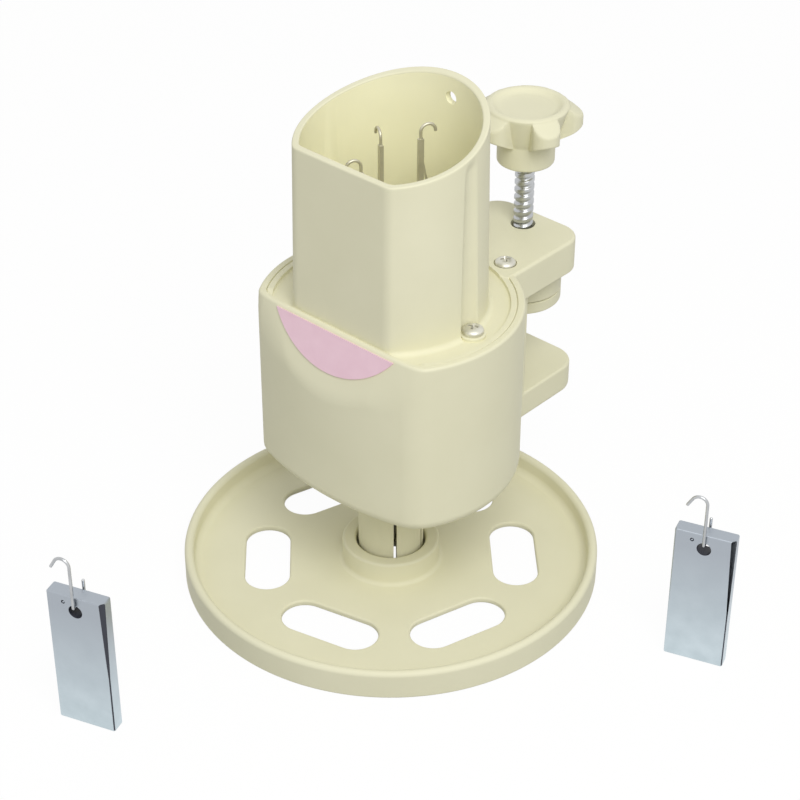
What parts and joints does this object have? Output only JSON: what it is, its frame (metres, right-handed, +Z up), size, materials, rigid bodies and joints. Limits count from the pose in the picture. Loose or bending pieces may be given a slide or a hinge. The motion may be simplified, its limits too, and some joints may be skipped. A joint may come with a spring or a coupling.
{
  "type": "i-cord maker",
  "caption": "Hand-turned i-cord maker: slotted hand wheel, tubular latch-needle carrier, fixed cam housing with needle tower, screw table clamp and hooked tension weights.",
  "frame": {"origin": "centre of the cord exit in the hand wheel's underside, which is the level the wheel stands on", "axes": "+Z up along the wheel's axis, -Y towards the flat front with the label, +Y towards the table clamp, +X to the right seen from the front"},
  "size_m": [0.1658, 0.1869, 0.1543],
  "materials": {
    "cream_plastic": "satin",
    "pink_label": "matte",
    "white_nylon": "matte",
    "plated_steel": "satin",
    "needle_steel": "polished",
    "plated_zinc": "satin"
  },
  "bodies": {
    "housing": {"lower_housing": "cream_plastic", "top_cover": "cream_plastic", "label_plate": "pink_label", "guide_bush": "white_nylon", "raising_cam": "white_nylon", "stitch_cam": "white_nylon", "cam_screws": "plated_steel", "thrust_washer": "white_nylon", "side_screws": "plated_steel", "rear_screws": "plated_steel", "clamp_nut": "plated_steel"},
    "rotor": {"hand_wheel": "cream_plastic", "needle_carrier": "cream_plastic", "carrier_sleeve": "cream_plastic"},
    "needle_1": {"needle_1": "needle_steel", "latch_pin_1": "needle_steel"},
    "latch_1": {"latch_1": "needle_steel"},
    "needle_2": {"needle_2": "needle_steel", "latch_pin_2": "needle_steel"},
    "latch_2": {"latch_2": "needle_steel"},
    "needle_3": {"needle_3": "needle_steel", "latch_pin_3": "needle_steel"},
    "latch_3": {"latch_3": "needle_steel"},
    "needle_4": {"needle_4": "needle_steel", "latch_pin_4": "needle_steel"},
    "latch_4": {"latch_4": "needle_steel"},
    "pad": {"pressure_pad": "cream_plastic"},
    "screw": {"clamp_screw": "plated_steel", "clamp_knob": "cream_plastic", "pad_washer": "plated_steel"},
    "weight_1": {"weight_1": "plated_zinc"},
    "hook_1": {"weight_hook_1": "plated_steel"},
    "weight_2": {"weight_2": "plated_zinc"},
    "hook_2": {"weight_hook_2": "plated_steel"}
  },
  "joints": [
    {"name": "wheel_spin", "type": "hinge", "parent": "housing", "child": "rotor", "pos_m": [0, 0, 0], "axis": [0, 0, 1], "continuous": true},
    {"name": "needle_1_slide", "type": "slide", "parent": "rotor", "child": "needle_1", "axis": [0, 0, 1], "range_m": [-0.018, 0]},
    {"name": "latch_1_pivot", "type": "hinge", "parent": "needle_1", "child": "latch_1", "pos_m": [0.00425, 0.00776, 0.137], "axis": [0.8771, -0.4802, 0], "range_deg": [0, 140]},
    {"name": "needle_2_slide", "type": "slide", "parent": "rotor", "child": "needle_2", "axis": [0, 0, 1], "range_m": [-0.01332, 0.00468]},
    {"name": "latch_2_pivot", "type": "hinge", "parent": "needle_2", "child": "latch_2", "pos_m": [-0.00776, 0.00425, 0.13232], "axis": [0.4802, 0.8771, 0], "range_deg": [0, 140]},
    {"name": "needle_3_slide", "type": "slide", "parent": "rotor", "child": "needle_3", "axis": [0, 0, 1], "range_m": [-0.01044, 0.00756]},
    {"name": "latch_3_pivot", "type": "hinge", "parent": "needle_3", "child": "latch_3", "pos_m": [-0.00425, -0.00776, 0.12944], "axis": [-0.8771, 0.4802, 0], "range_deg": [0, 140]},
    {"name": "needle_4_slide", "type": "slide", "parent": "rotor", "child": "needle_4", "axis": [0, 0, 1], "range_m": [0, 0.018]},
    {"name": "latch_4_pivot", "type": "hinge", "parent": "needle_4", "child": "latch_4", "pos_m": [0.00776, -0.00425, 0.119], "axis": [-0.4802, -0.8771, 0], "range_deg": [0, 140]},
    {"name": "pad_travel", "type": "slide", "parent": "housing", "child": "pad", "axis": [0, 0, -1], "range_m": [0, 0.0205]},
    {"name": "screw_turn", "type": "hinge", "parent": "pad", "child": "screw", "pos_m": [0, 0.0584, 0.1], "axis": [0, 0, -1], "range_deg": [0, 2952.1]},
    {"name": "weight_1_lift", "type": "slide", "parent": "housing", "child": "weight_1", "axis": [0, 0, 1], "range_m": [0, 0.1]},
    {"name": "hook_1_swing", "type": "hinge", "parent": "weight_1", "child": "hook_1", "pos_m": [-0.0141, -0.1085, 0.04175], "axis": [-0.3256, 0.9455, 0], "continuous": true},
    {"name": "weight_2_lift", "type": "slide", "parent": "housing", "child": "weight_2", "axis": [0, 0, 1], "range_m": [0, 0.1]},
    {"name": "hook_2_swing", "type": "hinge", "parent": "weight_2", "child": "hook_2", "pos_m": [0.0943, 0.0268, 0.04175], "axis": [-0.3256, 0.9455, 0], "continuous": true}
  ],
  "couplings": [
    {"joint": "screw_turn", "follows": "pad_travel", "rad_per_m": 2513.3}
  ]
}
